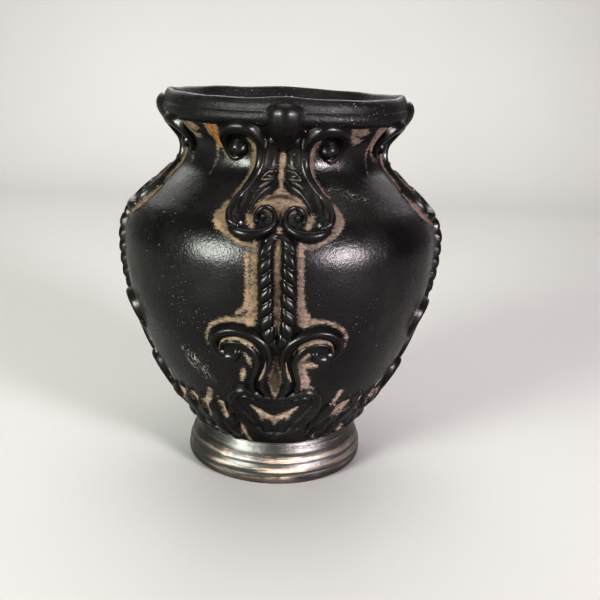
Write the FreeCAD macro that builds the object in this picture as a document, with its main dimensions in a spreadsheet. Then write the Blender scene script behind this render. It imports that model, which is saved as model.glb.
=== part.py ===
"""Black clay pot with moulded relief, as the pieces of clay it is put together from.

The hollow body stands on a turned foot and carries a flared collar with a rolled lip.
Four equal relief panels, a quarter turn apart, are luted on its outside. Each panel is a
strap head lapped over the lip, two S-shaped volutes, two acanthus half leaves, two
brackets, two twisted ropes, two C-scrolls and a palmette. Four garlands of leaves fill
the lower wall between the palmettes. The front panel faces -Y and the axis is Z.
Wall places are given as (angle in degrees from the panel's middle, height in mm).
"""
import FreeCAD, Part
import math
import os
import Sketcher
from FreeCAD import Placement, Rotation, Vector

# ---------------------------------------------------------------- driving dimensions
DIMENSIONS = {
    # foot
    "foot_height": 19.0, "foot_base_radius": 42.4, "foot_radius": 43.7,
    "foot_top_radius": 37.8, "foot_bore_radius": 31.0, "foot_groove_radius": 0.8,
    "foot_heel": 1.5, "foot_shoulder_height": 8.0, "foot_shoulder_arc": 13.5,
    # body: places on the outer wall, its lean there in degrees, and the arcs between them
    "flank_radius": 70.62, "flank_height": 84.21, "flank_arc": 179.8,
    "belly_radius": 74.3, "belly_height": 112.19, "belly_arc": 108.1,
    "shoulder_radius": 65.2, "shoulder_height": 132.4, "shoulder_arc": 27.0,
    "slope_radius": 49.93, "slope_height": 145.93,
    "neck_radius": 46.03, "neck_height": 154.59, "neck_arc": 11.57,
    "collar_radius": 48.45, "collar_height": 161.53, "collar_arc": 11.16,
    "waist_lean": 38.43, "flank_lean": 15.0, "shoulder_lean": -48.47,
    # body, inside
    "wall_thickness": 6.0, "floor_height": 25.5, "floor_radius": 33.6,
    "floor_corner_arc": 5.0, "toe_radius": 37.86, "toe_height": 29.0,
    "collar_inner_radius": 41.5,
    # collar and lip
    "flare_radius": 53.6, "flare_height": 168.0,
    "roll_arc": 2.75, "roll_low_radius": 54.2, "roll_low_height": 169.5,
    "roll_high_radius": 54.4, "roll_high_height": 174.7,
    "fascia_radius": 55.2, "fascia_height": 175.0, "crest_outer_radius": 53.9,
    "crest_outer_height": 179.0, "crest_inner_radius": 50.6, "crest_inner_height": 178.8,
    "crest_arc": 1.9, "mouth_radius": 46.4, "mouth_height": 170.5,
    # relief: how far it stands proud, and the radii of its round clay coils
    "relief_proud": 3.0, "eye_radius": 4.0, "stem_radius": 2.4, "lobe_radius": 2.2,
    "bracket_radius": 2.3, "curl_radius": 1.3, "rope_radius": 2.5, "rope_pitch": 5.2,
    "scroll_radius": 2.1, "inner_scroll_radius": 1.6, "scroll_eye_radius": 3.2,
    "cartouche_radius": 2.4, "shell_radius": 2.13, "mouth_bar_radius": 1.83,
    "leaf_radius": 2.9, "ribbon_radius": 1.8, "strap_half_width": 9.6,
}

doc = FreeCAD.newDocument("clay_pot")
sheet = doc.addObject("Spreadsheet::Sheet", "dims")
for row, (alias, value) in enumerate(DIMENSIONS.items(), start=1):
    sheet.set("A%d" % row, alias)
    sheet.set("B%d" % row, str(value))
    sheet.setAlias("B%d" % row, alias)
doc.recompute()


def size(alias):
    """A driving dimension, read back from the spreadsheet."""
    return float(sheet.get(alias))


# ---------------------------------------------------------------- turned pieces
def role_plane(body, role):
    """An origin plane or axis of a body, by its role."""
    return next(f for f in body.Origin.OriginFeatures if f.Role == role)


def value_of(expression):
    """The value of an expression of spreadsheet cells."""
    return float(sheet.evalExpression(expression))


def arc_centre(start, end, radius, side):
    """The centre of the short arc between two points. Going from start to end it bulges
    to the right if side is 1 and to the left if side is -1."""
    chord = end - start
    across = Vector(chord.y, -chord.x, 0).normalize() * side
    return (start + end) / 2 - across * math.sqrt(radius**2 - (chord.Length / 2) ** 2)


def short_arc(start, end, radius, side):
    """The arc itself, always running counter-clockwise."""
    centre = arc_centre(start, end, radius, side)
    first, last = (start, end) if side > 0 else (end, start)
    angles = [math.atan2(p.y - centre.y, p.x - centre.x) for p in (first, last)]
    if angles[1] < angles[0]:
        angles[1] += 2 * math.pi
    return Part.ArcOfCircle(Part.Circle(centre, Vector(0, 0, 1), radius), *angles)


def outline_sketch(body, name, corners, arcs):
    """A closed outline in the XZ plane. corners are pairs of expressions, radius and
    height. arcs maps the number of an edge to the expression of its radius and the side
    it bulges to."""
    sketch = body.newObject("Sketcher::SketchObject", name)
    sketch.AttachmentSupport = (role_plane(body, "XZ_Plane"), [""])
    sketch.MapMode = "FlatFace"
    points = [Vector(value_of(r), value_of(z), 0) for r, z in corners]
    count = len(points)
    first_point = [1] * count
    for i, start in enumerate(points):
        end = points[(i + 1) % count]
        if i not in arcs:
            sketch.addGeometry(Part.LineSegment(start, end), False)
            continue
        radius, side = arcs[i]
        sketch.addGeometry(short_arc(start, end, value_of(radius), side), False)
        first_point[i] = 1 if side > 0 else 2
    for i in range(count):
        after = (i + 1) % count
        sketch.addConstraint(Sketcher.Constraint(
            "Coincident", i, 3 - first_point[i], after, first_point[after]
        ))
    for i, corner in enumerate(corners):
        for axis, value, expression in zip("XY", (points[i].x, points[i].y), corner):
            if abs(value) < 1e-9:
                line = -2 if axis == "X" else -1
                sketch.addConstraint(
                    Sketcher.Constraint("PointOnObject", i, first_point[i], line)
                )
                continue
            number = sketch.addConstraint(
                Sketcher.Constraint("Distance" + axis, -1, 1, i, first_point[i], value)
            )
            sketch.setExpression("Constraints[%d]" % number, expression)
    for i, (radius, _) in arcs.items():
        number = sketch.addConstraint(Sketcher.Constraint("Radius", i, value_of(radius)))
        sketch.setExpression("Constraints[%d]" % number, radius)
    return sketch


def turned(label, corners, arcs):
    """A body of revolution about Z from a closed outline."""
    body = doc.addObject("PartDesign::Body", label)
    sketch = outline_sketch(body, label + "_outline", corners, arcs)
    doc.recompute()
    turn = body.newObject("PartDesign::Revolution", label + "_turn")
    turn.Profile = sketch
    turn.ReferenceAxis = (sketch, ["V_Axis"])
    turn.Angle = 360.0
    doc.recompute()
    return body


def at(radius, height):
    """A corner named by the spreadsheet cells of its radius and height."""
    return "dims." + radius, "dims." + height


def inside(place, lean):
    """The inner wall's corner, one wall thickness square in from a place on the outside."""
    return (
        "dims.%s_radius - dims.wall_thickness * cos(dims.%s)" % (place, lean),
        "dims.%s_height + dims.wall_thickness * sin(dims.%s)" % (place, lean),
    )


def make_foot():
    """The foot: a flared turned ring with three shallow grooves and an open underside."""
    foot = turned(
        "foot",
        [
            ("dims.foot_bore_radius", "0"),
            ("dims.foot_base_radius", "0"),
            at("foot_radius", "foot_heel"),
            at("foot_radius", "foot_shoulder_height"),
            at("foot_top_radius", "foot_height"),
            at("foot_bore_radius", "foot_height"),
        ],
        {3: ("dims.foot_shoulder_arc", 1)},
    )
    radius = size("foot_groove_radius")
    for height, reach in ((4.6, 43.7), (9.4, 43.55), (14.2, 41.9)):
        cut_groove(foot, height, reach + radius / 2)
    return foot


def cut_groove(body, height, reach):
    """A shallow round groove turned into the foot, centred at a height and a radius."""
    name = "groove_%d" % round(height * 10)
    sketch = body.newObject("Sketcher::SketchObject", name + "_outline")
    sketch.AttachmentSupport = (role_plane(body, "XZ_Plane"), [""])
    sketch.MapMode = "FlatFace"
    circle = Part.Circle(Vector(reach, height, 0), Vector(0, 0, 1), size("foot_groove_radius"))
    sketch.addGeometry(circle, False)
    number = sketch.addConstraint(Sketcher.Constraint("Radius", 0, circle.Radius))
    sketch.setExpression("Constraints[%d]" % number, "dims.foot_groove_radius")
    sketch.addConstraint(Sketcher.Constraint("DistanceX", -1, 1, 0, 3, reach))
    sketch.addConstraint(Sketcher.Constraint("DistanceY", -1, 1, 0, 3, height))
    doc.recompute()
    groove = body.newObject("PartDesign::Groove", name)
    groove.Profile = sketch
    groove.ReferenceAxis = (sketch, ["V_Axis"])
    groove.Angle = 360.0
    doc.recompute()


def make_body():
    """The hollow body: a closed floor, a swelling wall, a tight shoulder and a waisted neck."""
    return turned(
        "body",
        [
            ("0", "dims.foot_height"),
            at("foot_top_radius", "foot_height"),
            at("flank_radius", "flank_height"),
            at("belly_radius", "belly_height"),
            at("shoulder_radius", "shoulder_height"),
            at("slope_radius", "slope_height"),
            at("neck_radius", "neck_height"),
            at("collar_radius", "collar_height"),
            at("collar_inner_radius", "collar_height"),
            ("dims.neck_radius - dims.wall_thickness", "dims.neck_height"),
            inside("slope", "shoulder_lean"),
            inside("shoulder", "shoulder_lean"),
            ("dims.belly_radius - dims.wall_thickness", "dims.belly_height"),
            inside("flank", "flank_lean"),
            at("toe_radius", "toe_height"),
            at("floor_radius", "floor_height"),
            ("0", "dims.floor_height"),
        ],
        {
            1: ("dims.flank_arc", 1),
            2: ("dims.belly_arc", 1),
            3: ("dims.shoulder_arc", 1),
            5: ("dims.neck_arc", -1),
            6: ("dims.collar_arc", -1),
            8: ("dims.collar_arc + dims.wall_thickness", 1),
            9: ("dims.neck_arc + dims.wall_thickness", 1),
            11: ("dims.shoulder_arc - dims.wall_thickness", -1),
            12: ("dims.belly_arc - dims.wall_thickness", -1),
            13: ("dims.flank_arc - dims.wall_thickness", -1),
            14: ("dims.floor_corner_arc", -1),
        },
    )


def make_collar():
    """The flared collar: a rolled bead under a plain slanted band, open at the mouth."""
    return turned(
        "collar",
        [
            at("collar_radius", "collar_height"),
            at("flare_radius", "flare_height"),
            at("roll_low_radius", "roll_low_height"),
            at("roll_high_radius", "roll_high_height"),
            at("fascia_radius", "fascia_height"),
            at("crest_outer_radius", "crest_outer_height"),
            at("crest_inner_radius", "crest_inner_height"),
            at("mouth_radius", "mouth_height"),
            at("collar_inner_radius", "collar_height"),
        ],
        {2: ("dims.roll_arc", 1), 5: ("dims.crest_arc", 1)},
    )


# ---------------------------------------------------------------- the wall, for the relief
def arc_radius_at(height, start, end, radius, side):
    """The radius of the outline at a height, on the arc from start to end."""
    centre = arc_centre(start, end, radius, side)
    return centre.x + side * math.sqrt(max(radius**2 - (height - centre.y) ** 2, 0.0))


def wall_radius(height):
    """The outer wall's radius at a height, over the body and the collar."""
    places = ["flank", "belly", "shoulder", "slope", "neck", "collar", "flare", "roll_low"]
    points = [Vector(size("foot_top_radius"), size("foot_height"), 0)]
    points += [Vector(size(p + "_radius"), size(p + "_height"), 0) for p in places]
    bends = [("flank_arc", 1), ("belly_arc", 1), ("shoulder_arc", 1), None,
             ("neck_arc", -1), ("collar_arc", -1), None, None]
    for bend, start, end in zip(bends, points, points[1:]):
        if height <= end.y and bend is not None:
            return arc_radius_at(max(height, start.y), start, end, size(bend[0]), bend[1])
        if height <= end.y:
            share = (height - start.y) / (end.y - start.y)
            return start.x + (end.x - start.x) * share
    return size("roll_low_radius") + 0.3


def on_wall(angle, height, out=0.0):
    """A point at an angle and height, a distance out from the wall, square to it."""
    step = 0.5
    lean = math.atan2(wall_radius(height + step) - wall_radius(height - step), 2 * step)
    radius = wall_radius(height) + out * math.cos(lean)
    turn = math.radians(angle)
    return Vector(
        radius * math.sin(turn), -radius * math.cos(turn), height - out * math.sin(lean)
    )


# ---------------------------------------------------------------- relief pieces
def ball(centre, radius):
    return Part.makeSphere(radius, centre)


def capsule(start, end, radius, end_radius=None):
    """A round bar with round ends between two points, tapered if end_radius is given."""
    end_radius = radius if end_radius is None else end_radius
    way = end - start
    if abs(radius - end_radius) < 1e-6:
        bar = Part.makeCylinder(radius, way.Length, start, way)
    else:
        bar = Part.makeCone(radius, end_radius, way.Length, start, way)
    return [ball(start, radius), bar, ball(end, end_radius)]


def tube(route, radius, proud):
    """A round bar along a smooth route on the wall, standing a distance proud of it."""
    points = [on_wall(angle, height, proud - radius) for angle, height in route]
    line = Part.BSplineCurve()
    line.interpolate(points)
    start, way = line.value(line.FirstParameter), line.tangent(line.FirstParameter)[0]
    section = Part.Wire([Part.makeCircle(radius, start, way)])
    bar = Part.Wire([line.toShape()]).makePipeShell([section], True, False)
    return [ball(points[0], radius), bar, ball(points[-1], radius)]


def joined(shapes):
    """One solid from shapes that overlap: all at once, or else one at a time."""
    whole = shapes[0].multiFuse(shapes[1:])
    if whole.isValid() and len(whole.Solids) == 1:
        return whole
    whole = shapes[0]
    for shape in shapes[1:]:
        whole = whole.fuse(shape)
    return whole


def chain(places, radius):
    """Round bars end to end, with one ball at each of their joints."""
    shapes = [ball(places[0], radius)]
    for start, end in zip(places, places[1:]):
        way = end - start
        shapes += [Part.makeCylinder(radius, way.Length, start, way), ball(end, radius)]
    return shapes


def mirrored(route, side):
    return [(angle * side, height) for angle, height in route]


def volute(side):
    """An S-shaped scroll: an eye, an arm curling over it and a stem down the neck."""
    route = [(29.5, 161), (28.3, 165.6), (24.5, 168), (19.6, 168), (15.2, 165.2),
             (12.6, 160), (12, 154), (12.8, 147.5), (15.5, 141)]
    proud, radius = size("relief_proud"), size("stem_radius")
    shapes = tube(mirrored(route, side), radius, proud)
    eye = on_wall(23 * side, 159.3, proud + 0.6 - size("eye_radius"))
    end = on_wall(route[0][0] * side, route[0][1], proud - radius)
    return joined(shapes + capsule(end, eye, radius, radius - 0.3) +
                  [ball(eye, size("eye_radius"))])


def half_leaf(side):
    """Half an acanthus leaf: four lobes down the inside of a stem and a hooked tip."""
    spine = [(8.2, 158.5), (9.2, 153), (9.8, 148.5), (11.8, 143.5), (15.6, 138.6),
             (18.2, 135), (18.2, 131.8), (16, 129.6)]
    lobes = [((4.4, 156), (8.6, 154.6)), ((3.8, 151.6), (9.2, 150)),
             ((4.6, 147.2), (10.2, 145.7)), ((8.2, 142.4), (13.2, 140.9))]
    radius = size("lobe_radius")
    shapes = chain([on_wall(angle * side, height, 0.2) for angle, height in spine], radius)
    for (a0, z0), (a1, z1) in lobes:
        tip, root = on_wall(a0 * side, z0, 0.35), on_wall(a1 * side, z1, 0.3)
        shapes += capsule(tip, root, 1.3, 1.9)
    return joined(shapes)


def bracket(side):
    """A bracket bar whose inner end curls up into a small spiral."""
    proud, radius = size("relief_proud"), size("curl_radius")
    bar = [(15.2, 127), (11, 125.7), (6.4, 126.3), (3, 128.6)]
    curl = [(3, 128.6), (1.9, 131.4), (2.8, 134.4), (5.8, 135.8), (8.4, 134.2), (8.4, 131.6)]
    shapes = tube(mirrored(bar, side), size("bracket_radius"), proud)
    shapes += tube(mirrored(curl, side), radius, proud - 0.6)
    end = on_wall(curl[-1][0] * side, curl[-1][1], proud - 0.6 - radius)
    return joined(shapes + capsule(end, on_wall(6.2 * side, 132.3, 0.4), radius, radius + 0.4))


def rope(side):
    """A twisted rope: slanted round lays, one pitch apart, over a round core."""
    top, bottom, middle = 123.4, 82.6, 3.9
    lay = size("rope_radius")
    out = size("relief_proud") - lay
    count = int(round((top - bottom) / size("rope_pitch"))) + 1
    shapes, last = [], None
    for i in range(count):
        height = top - i * (top - bottom) / (count - 1)
        centre = (middle - 1.0 * max(0.0, (88 - height) / 5)) * side
        upper = on_wall(centre - 0.7 * side, height + 1.4, out)
        lower = on_wall(centre + 0.7 * side, height - 1.4, out)
        shapes += capsule(upper, lower, lay)
        core = on_wall(centre, height, out)
        if last is not None:
            way = core - last
            shapes.append(Part.makeCylinder(lay * 0.8, way.Length, last, way))
        last = core
    return joined(shapes)


def scroll(side):
    """A C-scroll: a broad ridge that curls to an eye and a thin ridge inside it."""
    outer = [(16.5, 72.6), (20.6, 74), (22.4, 78.6), (20.4, 83.4), (15.4, 86.2), (10, 85.4),
             (5.6, 82), (3, 77.4), (2.4, 72), (3.3, 66), (4.9, 60), (5.4, 56.6)]
    inner = [(18, 78.8), (13.4, 80.2), (9.2, 78.2), (7.2, 74), (7.4, 69), (8.8, 63),
             (10, 57.6)]
    proud, radius = size("relief_proud"), size("inner_scroll_radius")
    shapes = tube(mirrored(outer, side), size("scroll_radius"), proud)
    shapes += tube(mirrored(inner, side), radius, proud - 0.5)
    eye = on_wall(16 * side, 75, 0.2)
    end = on_wall(inner[0][0] * side, inner[0][1], proud - 0.5 - radius)
    return joined(shapes + capsule(end, eye, radius) + [ball(eye, size("scroll_eye_radius"))])


def palmette():
    """A heart-shaped cartouche with a scalloped shell in its lower half."""
    half = [(5, 53.6), (11, 55), (16.5, 53.4), (19.4, 48.5), (17.4, 41.8), (11.4, 34.8),
            (5, 30.6)]
    heart = [(0, 51.8)] + half + [(0, 29.4)] + mirrored(half, -1)[::-1]
    radius = size("cartouche_radius")
    out = size("relief_proud") - radius
    shapes = chain([on_wall(*place, out) for place in heart + heart[:1]], radius)[:-1]
    smile = [(-15.5, 48.9), (-5.5, 45.4), (5.5, 45.4), (15.5, 48.9)]
    shapes += chain([on_wall(*place, 0.1) for place in smile], size("mouth_bar_radius"))
    for angle in (-12, -6, 0, 6, 12):
        low = 33.4 + abs(angle) * 0.4
        high = low + 3.6 - abs(angle) * 0.1
        rib = [on_wall(angle * 0.88, low, 0.15), on_wall(angle * 0.66, high, 0.05)]
        shapes += chain(rib, size("shell_radius"))
    return joined(shapes)


def strap_head():
    """The strap head lapped over the lip, a rounded shield that narrows down the neck."""
    half = size("strap_half_width")
    sections = [(178.0, 0.30, 1.0), (176.2, 0.68, 2.7), (173.4, 0.94, 4.3), (170, 1.0, 5.0),
                (166, 0.86, 4.6), (162, 0.62, 3.6), (159.2, 0.44, 2.6)]
    wires = []
    for height, share, depth in sections:
        ellipse = Part.Ellipse(on_wall(0, height), half * share, depth)
        wires.append(Part.Wire([ellipse.toShape()]))
    return Part.makeLoft(wires, True, False)


def garland():
    """One garland, between the palmettes at 0 and 90 degrees: two rows of slanted leaves
    that lean away from each palmette, on a thin ribbon."""
    proud, radius = size("relief_proud") - 0.4, size("leaf_radius")
    leaves = [(24, 34.5, 30, 45), (30.5, 34.5, 36.5, 45), (37, 34.5, 42.4, 45),
              (24.5, 23.5, 30.5, 32.5), (32, 23.5, 38, 32.5), (39.5, 23.5, 44, 31)]
    leaves += [(90 - a0, z0, 90 - a1, z1) for a0, z0, a1, z1 in leaves]
    shapes = tube([(angle, 33.6) for angle in range(24, 67, 6)], size("ribbon_radius"), 1.4)
    for a0, z0, a1, z1 in leaves:
        root, tip = on_wall(a0, z0, proud - radius), on_wall(a1, z1, proud - radius)
        shapes += capsule(root, tip, radius, radius * 0.6)
    return joined(shapes)


# ---------------------------------------------------------------- assembly
def add_piece(label, shape, turn):
    """A relief piece as an object of the document, turned to its panel."""
    piece = doc.addObject("Part::Feature", label)
    piece.Shape = shape
    piece.Placement = Placement(Vector(), Rotation(Vector(0, 0, 1), turn))
    piece.Label = label
    return piece


def seated(shape, neighbours):
    """What of a relief piece lies outside its neighbours, so that it meets them face to
    face. Slivers left on the far side of a neighbour are dropped."""
    for neighbour in neighbours:
        if shape.BoundBox.intersect(neighbour.BoundBox):
            shape = shape.cut(neighbour)
    return max(shape.Solids, key=lambda solid: solid.Volume)


def filled(shape):
    """A turned piece with its hollow filled, to trim relief against."""
    box = shape.BoundBox
    middle = Part.makeCylinder(size("foot_bore_radius"), box.ZLength, Vector(0, 0, box.ZMin))
    return shape.fuse(middle)


foot, body, collar = make_foot(), make_body(), make_collar()
turned_pieces = [filled(piece.Shape) for piece in (body, collar, foot)]
relief = {"strap_head": seated(strap_head(), turned_pieces)}
for kind, make in (("volute", volute), ("half_leaf", half_leaf), ("bracket", bracket),
                   ("rope", rope), ("scroll", scroll)):
    right = seated(make(1), turned_pieces + list(relief.values()))
    relief["right_" + kind] = right
    relief["left_" + kind] = right.mirror(Vector(), Vector(1, 0, 0))
relief["palmette"] = seated(palmette(), turned_pieces + list(relief.values()))
quarter = relief["palmette"].copy()
quarter.rotate(Vector(), Vector(0, 0, 1), 90)
relief["garland"] = seated(garland(), turned_pieces + [relief["palmette"], quarter])

pieces = [foot, body, collar]
for panel, turn in (("front", 0), ("right", 90), ("back", 180), ("left", 270)):
    for name, shape in relief.items():
        pieces.append(add_piece("%s_%s" % (panel, name), shape, turn))

doc.recompute()
failed = [o.Label for o in doc.Objects if {"Invalid", "Error"} & set(o.State)]
if failed:
    raise RuntimeError("these objects failed: %s" % failed)
os.makedirs("parts", exist_ok=True)
for piece in pieces:
    shape = piece.Shape
    if shape.isNull() or not shape.isValid() or len(shape.Solids) != 1:
        raise RuntimeError("%s is not one valid solid" % piece.Label)
    shape.exportStep("parts/%s.step" % piece.Label)
    print(piece.Label, round(shape.Volume, 1))
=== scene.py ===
"""The black clay pot: its turned body, foot and collar, and the relief laid on its wall.

Lengths are in millimetres until a mesh is made. A place on the wall is (angle, height):
degrees round from a relief panel's middle, and height above the floor. The relief is one
height field per panel, shared out among the pieces of clay that it is built from.
"""
import math

import bpy
import numpy as np
from mathutils import Matrix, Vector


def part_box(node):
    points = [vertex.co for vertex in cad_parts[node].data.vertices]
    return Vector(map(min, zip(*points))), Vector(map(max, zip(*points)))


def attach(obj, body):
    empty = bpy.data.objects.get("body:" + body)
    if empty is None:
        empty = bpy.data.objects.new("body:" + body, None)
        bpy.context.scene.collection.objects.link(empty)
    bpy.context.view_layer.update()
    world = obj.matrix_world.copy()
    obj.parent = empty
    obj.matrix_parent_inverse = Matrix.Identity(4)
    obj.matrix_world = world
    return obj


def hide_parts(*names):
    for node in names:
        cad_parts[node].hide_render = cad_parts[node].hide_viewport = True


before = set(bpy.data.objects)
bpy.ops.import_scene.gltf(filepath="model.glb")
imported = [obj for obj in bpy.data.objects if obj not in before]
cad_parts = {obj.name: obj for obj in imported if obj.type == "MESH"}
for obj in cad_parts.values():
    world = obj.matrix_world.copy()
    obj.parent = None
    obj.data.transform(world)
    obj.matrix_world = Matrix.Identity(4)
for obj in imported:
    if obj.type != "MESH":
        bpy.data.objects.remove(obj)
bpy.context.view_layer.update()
MM = 0.001


# ---- sizes from the frame
def box_mm(node):
    """The lowest and highest corner of a CAD node, in millimetres."""
    return np.array(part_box(node)) / MM


BELLY = box_mm("body")[1][0]  # widest radius of the wall
FOOT_RADIUS, _, FOOT_TOP = box_mm("foot")[1]
SEAM = box_mm("collar")[0][2]  # where the collar starts
CREST = box_mm("collar")[1][2]
SCALE = BELLY / 74.3  # the numbers below are for a belly of 74.3
WALL = 6.0 * SCALE  # the wall's thickness


# ---- the wall's outline
def at(radius, height):
    """A point of the outline, at the pot's own size."""
    return radius * SCALE, height * SCALE


def arc(start, end, radius, side, count):
    """Points (radius, height) of a short arc. It bulges outwards if side is 1. Its own
    radius is given before SCALE."""
    start, end = np.array(start), np.array(end)
    radius = radius * SCALE
    chord = end - start
    half = np.linalg.norm(chord) / 2
    across = np.array([chord[1], -chord[0]]) / (2 * half) * side
    centre = (start + end) / 2 - across * math.sqrt(radius**2 - half**2)
    first = math.atan2(*(start - centre)[::-1])
    last = math.atan2(*(end - centre)[::-1])
    if last - first > math.pi:
        last -= 2 * math.pi
    if first - last > math.pi:
        last += 2 * math.pi
    turn = np.linspace(first, last, count)
    return centre + radius * np.stack([np.cos(turn), np.sin(turn)], 1)


WAIST = (37.8 * SCALE, FOOT_TOP)
FLANK = at(70.62, 84.21)
WIDEST = (BELLY, 112.19 * SCALE)
SHOULDER = at(65.2, 132.4)
SLOPE = at(49.93, 145.93)
NECK = at(46.03, 154.59)
THROAT = (48.45 * SCALE, SEAM)
FLARE = at(53.6, 168.0)

# Distances between points: of the relief's base line, of the wall and of the foot.
BASE_STEP, WALL_STEP, FOOT_STEP = 0.2, 0.85, 0.3

OUTER = np.concatenate([
    arc(WAIST, FLANK, 179.8, 1, 120),
    arc(FLANK, WIDEST, 108.1, 1, 60)[1:],
    arc(WIDEST, SHOULDER, 27, 1, 60)[1:],
    np.linspace(SHOULDER, SLOPE, 40)[1:],
    arc(SLOPE, NECK, 11.57, -1, 40)[1:],
    arc(NECK, THROAT, 11.16, -1, 30)[1:],
])


def resample(points, step):
    """The same line with evenly spaced points."""
    gaps = np.linalg.norm(np.diff(points, axis=0), axis=1)
    along = np.concatenate([[0], np.cumsum(gaps)])
    count = max(int(round(along[-1] / step)), 1) + 1
    places = np.linspace(0, along[-1], count)
    return np.stack([np.interp(places, along, column) for column in points.T], 1)


def smooth_rows(values, passes):
    """Evens out a line's points, each towards its two neighbours."""
    for _ in range(passes):
        values[1:-1] = values[1:-1] * 0.5 + (values[:-2] + values[2:]) * 0.25
    return values


# The line that the relief is laid on: the wall, then on over the rolled lip.
LIP_LINE = [FLARE, at(55.2, 171.4), at(55.1, 174.6), at(54.6, 177.0), at(53.6, 179.2),
            at(52.6, 181.5)]
BASE = smooth_rows(resample(np.concatenate([OUTER, LIP_LINE]), BASE_STEP), 12)
BASE_ALONG = np.concatenate([[0], np.cumsum(np.linalg.norm(np.diff(BASE, axis=0), axis=1))])
BASE_WAY = np.gradient(BASE, axis=0)
BASE_WAY /= np.linalg.norm(BASE_WAY, axis=1)[:, None]


def on_wall(angle, height, out=0.0):
    """3-D points at angles and heights on the relief's base line, a distance out."""
    angle, height, out = np.broadcast_arrays(angle, height, out)
    radius = np.interp(height, BASE[:, 1], BASE[:, 0])
    rise = np.interp(height, BASE[:, 1], BASE_WAY[:, 1])
    lean = np.interp(height, BASE[:, 1], BASE_WAY[:, 0])
    reach = radius + out * rise
    turn = np.radians(angle)
    return np.stack([reach * np.sin(turn), -reach * np.cos(turn), height - out * lean], -1)


# ---- lines on the wall
LINE_STEP = 0.7  # between a line's points, about


def catmull_rom(rows, count_between):
    """A smooth line through rows of numbers, with so many points from one to the next."""
    padded = np.concatenate([[2 * rows[0] - rows[1]], rows, [2 * rows[-1] - rows[-2]]])
    parts = []
    for i in range(1, len(padded) - 2):
        before, start, end, after = padded[i - 1:i + 3]
        way = np.linspace(0, 1, count_between(start, end), endpoint=False)[:, None]
        parts.append(0.5 * (2 * start + (end - before) * way
                            + (2 * before - 5 * start + 4 * end - after) * way**2
                            + (3 * start - before - 3 * end + after) * way**3))
    return np.concatenate(parts + [rows[-1:]])


def smooth_line(places, *columns):
    """A smooth line through places on the wall, as rows (angle, height, columns...). Each
    column is one number for the whole line, or a few from its start to its end."""
    rows = np.asarray(places, float)
    rows = np.column_stack([rows] + [spread(column, len(rows)) for column in columns])

    def count_between(start, end):
        ends = on_wall([start[0], end[0]], [start[1], end[1]])
        return max(int(np.linalg.norm(ends[1] - ends[0]) / LINE_STEP), 2)

    return catmull_rom(rows, count_between) if len(rows) > 1 else rows


def spread(values, count):
    """One number for each of a line's places, from a single number or a few of them."""
    values = np.atleast_1d(np.asarray(values, float))
    return np.interp(np.linspace(0, 1, count), np.linspace(0, 1, len(values)), values)


def drift(height):
    """How far the panel's middle wanders from straight, in degrees, at a height."""
    return np.interp(height, [56, 72, 88, 100, 120, 129, 136, 146, 156, 163],
                     [-0.4, -0.4, -0.4, -0.6, -0.95, -0.5, -0.3, -0.9, -0.5, 0])


def up(*heights):
    """A line up a panel's middle."""
    return [(0, height) for height in heights]


def mirror(places, side):
    """A line for one side of the panel, leaning with the panel's middle."""
    return [(angle * side + drift(height), height) for angle, height in places]


class Field:
    """A patch of the wall, as rows and columns of points to measure heights on."""

    def __init__(self, angles, heights):
        self.angles, self.heights = np.meshgrid(angles, heights)
        self.points = on_wall(self.angles, self.heights)
        self.shape = self.angles.shape

    def near(self, line, reach):
        """Distance to a line of rows (angle, height, ...), and the line's other numbers at
        the nearest place, for the points of the patch within reach. Others are left out."""
        places = on_wall(line[:, 0], line[:, 1])
        low, high = places.min(0) - reach, places.max(0) + reach
        inside = ((self.points >= low) & (self.points <= high)).all(-1)
        spots = self.points[inside]
        best = np.full(len(spots), np.inf)
        extra = np.zeros((len(spots), line.shape[1] - 2))
        if len(line) == 1:
            best = np.linalg.norm(spots - places[0], axis=1)
            extra[:] = line[0, 2:]
        for i in range(len(line) - 1):
            way = places[i + 1] - places[i]
            share = np.clip((spots - places[i]) @ way / (way @ way + 1e-12), 0, 1)
            gap = np.linalg.norm(spots - places[i] - share[:, None] * way, axis=1)
            closer = gap < best
            best[closer] = gap[closer]
            mix = share[closer, None]
            extra[closer] = line[i, 2:] * (1 - mix) + line[i + 1, 2:] * mix
        return inside, best, extra.T


NOWHERE = -6.0  # how far inside a band a point counts as lying when it is far from it


def paint(field, strokes):
    """How far inside the bands along some lines each point lies, less than 0 outside."""
    values = np.full(field.shape, NOWHERE)
    for places, width in strokes:
        inside, gap, (half,) = field.near(smooth_line(places, width), np.max(width) - NOWHERE)
        values[inside] = np.maximum(values[inside], half - gap)
    return values


def on_sides(strokes, sides=(1, -1)):
    """Strokes drawn for one side of a panel, laid on its sides."""
    return [(mirror(places, side), width) for side in sides for places, width in strokes]


# ---- where clay shows bare
# Bands where the coat is missing, as (line, half widths): on both sides of a panel, down
# its middle, and on one side only.
BARE_BESIDE = [
    ([(17.8, 162.6), (15.9, 160.4), (14.8, 156.5), (14.7, 152), (15.6, 147.6), (17.8, 143.4),
      (20.4, 139.6)], [0.6, 1.3, 1.7, 1.7, 1.5, 1.3, 0.8]),
    ([(21.8, 137.4), (22.2, 133.2), (20.4, 129.4), (17, 126.4), (12.5, 123.4), (8.6, 122.6)],
     [1.2, 1.9, 2.1, 1.6, 0.9, 0.9]),
    ([(7.4, 123.4), (7.4, 117), (7.5, 107), (7.7, 99), (8.6, 93), (10.6, 90.2)],
     [1.2, 1.3, 1.4, 1.7, 2.6, 1.6]),
    ([(9, 90.4), (14, 90.9), (19.2, 89.4), (23.4, 86), (25.3, 80.8), (25.4, 76.4)],
     [2.4, 1.3, 1, 0.8, 0.6, 0.2]),
]
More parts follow.
